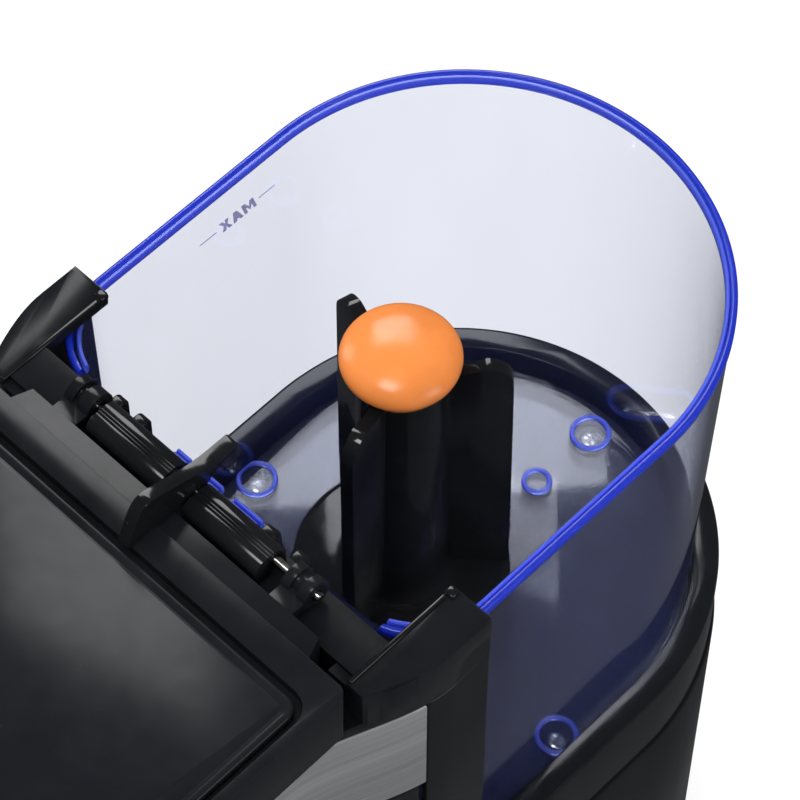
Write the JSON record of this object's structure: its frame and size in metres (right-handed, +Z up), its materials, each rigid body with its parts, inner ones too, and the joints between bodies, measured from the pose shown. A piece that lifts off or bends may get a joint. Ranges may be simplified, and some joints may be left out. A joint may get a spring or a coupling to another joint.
{
  "type": "centrifugal juicer",
  "caption": "Centrifugal juicer with a steel-banded motor tower, flat hinged lid over the feed throat and a clear D-shaped rear pulp container with a finned, orange-capped leveller.",
  "frame": {"origin": "centre of the footprint on the worktop", "axes": "+Z up, +Y towards the rear where the clear container stands, +X to the right seen from the front"},
  "size_m": [0.166, 0.369, 0.3434],
  "materials": {
    "black_gloss": "gloss",
    "black_satin": "satin",
    "black_matt": "matte",
    "rubber": "matte",
    "steel_brushed": "brushed",
    "steel_bright": "polished",
    "copper": "satin",
    "nylon": "matte",
    "smoke_clear": "clear",
    "blue_clear": "clear",
    "orange": "satin",
    "board_green": "matte"
  },
  "bodies": {
    "base": {"base_housing": "black_gloss", "bottom_plate": "black_matt", "foot_front_left": "rubber", "foot_front_right": "rubber", "foot_rear_left": "rubber", "foot_rear_right": "rubber", "cord_gland": "rubber", "container_tray": "black_gloss", "tray_screw_left": "steel_bright", "tray_screw_right": "steel_bright", "tray_screw_rear": "steel_bright", "spindle_bushing": "nylon", "tower_housing": "black_gloss", "steel_band": "steel_brushed", "motor_cradle": "black_matt", "lower_bearing": "steel_bright", "upper_bearing": "steel_bright", "shaft_seal": "rubber", "motor_stator": "steel_brushed", "motor_coils_lower": "copper", "motor_coils_upper": "copper", "juice_bowl": "smoke_clear", "juice_spout": "smoke_clear", "knob_bezel": "steel_brushed", "speed_switch": "black_matt", "control_board": "board_green", "leveller_gearmotor": "steel_brushed", "gearmotor_bracket": "black_matt"},
    "spinner": {"motor_shaft": "steel_bright", "motor_armature": "copper", "motor_commutator": "copper", "cooling_fan": "nylon", "drive_coupling": "nylon", "filter_basket": "steel_brushed", "grating_disc": "steel_bright", "disc_clamp": "nylon"},
    "cover": {"top_frame": "black_satin", "bowl_cover": "smoke_clear", "hinge_pin": "steel_bright", "hinge_barrel_left": "black_gloss", "hinge_barrel_right": "black_gloss"},
    "lid": {"lid_frame": "black_satin", "lid_panel": "black_satin", "lid_arm": "black_gloss", "latch_spring": "steel_bright"},
    "latch": {"latch_button": "black_satin"},
    "pusher": {"food_pusher": "black_satin"},
    "container": {"pulp_container": "blue_clear"},
    "leveller": {"leveller_rotor": "black_gloss"},
    "cap": {"leveller_cap": "orange"},
    "spindle": {"leveller_spindle": "steel_bright", "leveller_gear": "nylon", "spindle_collar": "nylon"},
    "pinion": {"leveller_pinion": "steel_bright"},
    "knob": {"speed_knob": "black_satin"}
  },
  "joints": [
    {"name": "basket_spin", "type": "hinge", "parent": "base", "child": "spinner", "pos_m": [0, -0.075, 0.2], "axis": [0, 0, 1], "continuous": true},
    {"name": "cover_lift", "type": "slide", "parent": "base", "child": "cover", "axis": [0, 0, 1], "range_m": [0, 0.1]},
    {"name": "container_lift", "type": "slide", "parent": "base", "child": "container", "axis": [0, 0, 1], "range_m": [0, 0.09]},
    {"name": "lid_hinge", "type": "hinge", "parent": "cover", "child": "lid", "pos_m": [0, -0.0045, 0.327], "axis": [-1, 0, 0], "range_deg": [0, 52]},
    {"name": "latch_press", "type": "slide", "parent": "lid", "child": "latch", "axis": [0, 1, 0], "range_m": [0, 0.002], "stiffness_N_per_m": 400, "springref_m": -0.001},
    {"name": "pusher_press", "type": "slide", "parent": "cover", "child": "pusher", "axis": [0, 0, -1], "range_m": [0, 0.024]},
    {"name": "leveller_turn", "type": "hinge", "parent": "container", "child": "leveller", "pos_m": [0, 0.0733, 0.1664], "axis": [0, 0, 1], "continuous": true},
    {"name": "cap_lift", "type": "slide", "parent": "leveller", "child": "cap", "axis": [0, 0, 1], "range_m": [0, 0.03]},
    {"name": "spindle_turn", "type": "hinge", "parent": "base", "child": "spindle", "pos_m": [0, 0.0733, 0.12], "axis": [0, 0, 1], "continuous": true},
    {"name": "pinion_turn", "type": "hinge", "parent": "base", "child": "pinion", "pos_m": [0, 0.1078, 0.12], "axis": [0, 0, 1], "continuous": true},
    {"name": "knob_turn", "type": "hinge", "parent": "base", "child": "knob", "pos_m": [0, -0.1558, 0.085], "axis": [0, -1, 0], "range_deg": [-60, 60]}
  ],
  "couplings": [
    {"joint": "container_lift", "follows": "cover_lift", "ratio": 0.9},
    {"joint": "spindle_turn", "follows": "leveller_turn", "ratio": 1},
    {"joint": "pinion_turn", "follows": "leveller_turn", "ratio": -3}
  ]
}
